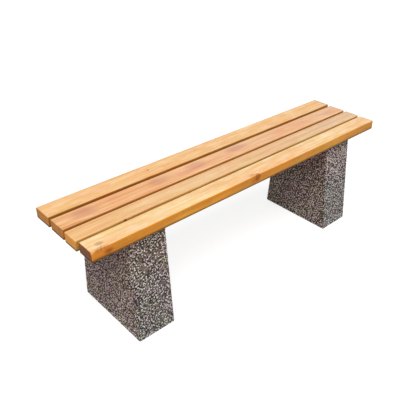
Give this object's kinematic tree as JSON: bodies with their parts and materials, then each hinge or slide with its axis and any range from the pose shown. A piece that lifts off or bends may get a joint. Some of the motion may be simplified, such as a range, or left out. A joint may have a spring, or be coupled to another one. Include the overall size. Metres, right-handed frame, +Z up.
{
  "type": "garden bench",
  "caption": "Backless garden bench: long varnished timber planks on washed-concrete pedestals, held from below by bolted steel angles.",
  "frame": {"origin": "middle of the bench's footprint, on the ground", "axes": "+X along the seat towards its right end, -Y towards the front, +Z up"},
  "size_m": [1.5, 0.36, 0.465],
  "materials": {
    "wood_honey": "satin amber varnish over knotty pine",
    "wood_rose": "satin amber varnish over knotty pine",
    "wood_straw": "satin amber varnish over knotty pine",
    "wood_pale": "satin amber varnish over knotty pine",
    "washed_concrete": "washed concrete with exposed small pebbles",
    "galvanised_steel": "hot-dip galvanised, dull with faint spangle",
    "zinc_plated_steel": "zinc plated, satin",
    "raw_steel": "plain mill-finish reinforcement steel"
  },
  "bodies": {
    "root": {"plank_back": "wood_honey", "plank_mid_back": "wood_rose", "plank_mid_front": "wood_straw", "plank_front": "wood_pale", "pedestal_left": "washed_concrete", "upright_bars_left": "raw_steel", "stirrups_left": "raw_steel", "pedestal_right": "washed_concrete", "upright_bars_right": "raw_steel", "stirrups_right": "raw_steel", "sockets_left_outer": "zinc_plated_steel", "angle_left_outer": "galvanised_steel", "bolts_left_outer": "zinc_plated_steel", "bolt_washers_left_outer": "zinc_plated_steel", "screws_left_outer": "zinc_plated_steel", "screw_washers_left_outer": "zinc_plated_steel", "sockets_left_inner": "zinc_plated_steel", "angle_left_inner": "galvanised_steel", "bolts_left_inner": "zinc_plated_steel", "bolt_washers_left_inner": "zinc_plated_steel", "screws_left_inner": "zinc_plated_steel", "screw_washers_left_inner": "zinc_plated_steel", "sockets_right_inner": "zinc_plated_steel", "angle_right_inner": "galvanised_steel", "bolts_right_inner": "zinc_plated_steel", "bolt_washers_right_inner": "zinc_plated_steel", "screws_right_inner": "zinc_plated_steel", "screw_washers_right_inner": "zinc_plated_steel", "sockets_right_outer": "zinc_plated_steel", "angle_right_outer": "galvanised_steel", "bolts_right_outer": "zinc_plated_steel", "bolt_washers_right_outer": "zinc_plated_steel", "screws_right_outer": "zinc_plated_steel", "screw_washers_right_outer": "zinc_plated_steel"}
  },
  "joints": []
}
